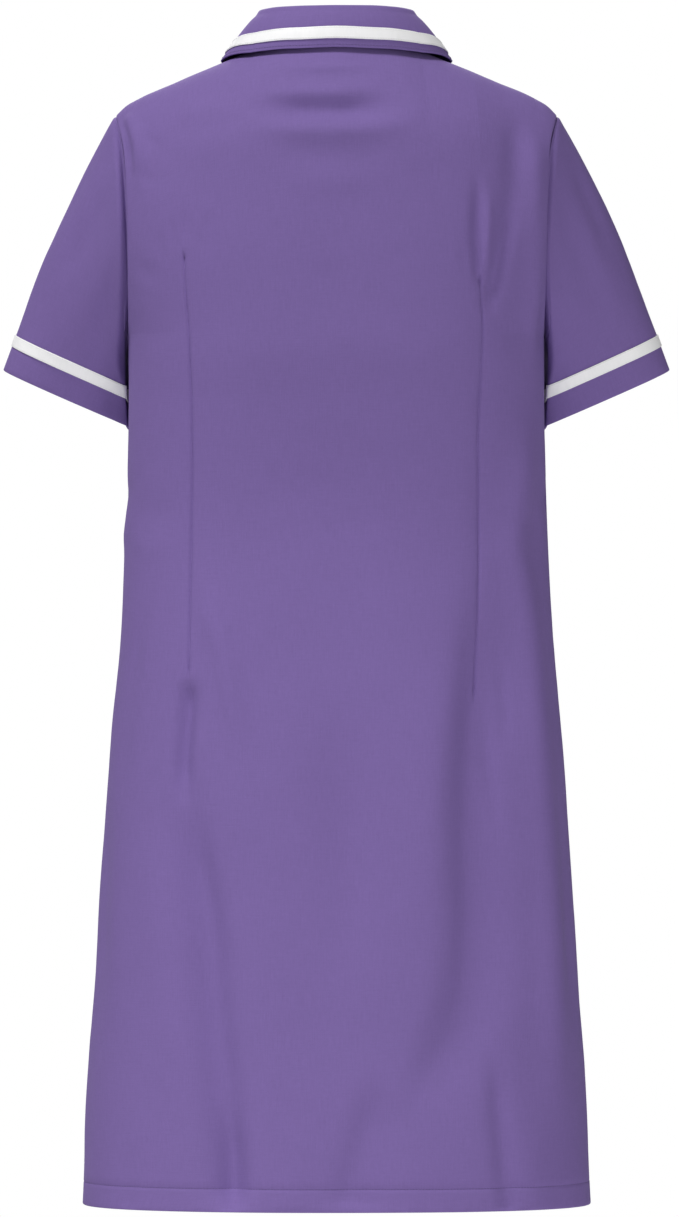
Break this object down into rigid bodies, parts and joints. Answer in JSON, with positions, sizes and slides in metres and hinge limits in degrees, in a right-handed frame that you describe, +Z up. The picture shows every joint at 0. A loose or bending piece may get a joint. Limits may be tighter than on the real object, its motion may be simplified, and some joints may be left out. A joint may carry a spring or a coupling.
{
  "type": "nurse uniform dress filled out as if worn",
  "caption": "Short-sleeved uniform dress with a turned-down collar, flat tape trim and a buttoned front, filled out as if worn.",
  "frame": {"origin": "midway between the shoulders, level with the place where the collar's edge meets them; a wearer holds the dress up there", "axes": "the wearer faces -Y, the wearer's left is +X, +Z is up along the wearer's back"},
  "size_m": [0.604, 0.2627, 1.074],
  "materials": {
    "cloth": "plain-woven polyester and cotton, soft matt with a slight sheen",
    "tape": "flat white woven tape with a faint satin sheen",
    "button": "moulded plastic dyed to match the cloth"
  },
  "bodies": {
    "root": {"back": "cloth", "front_left": "cloth", "front_right": "cloth", "sleeve_left": "cloth", "sleeve_right": "cloth", "collar": "cloth", "collar_tape": "tape", "sleeve_tape_left": "tape", "sleeve_tape_right": "tape", "button_1": "button", "button_2": "button", "button_3": "button", "button_4": "button", "button_5": "button", "button_6": "button", "button_7": "button", "button_8": "button"}
  },
  "joints": []
}
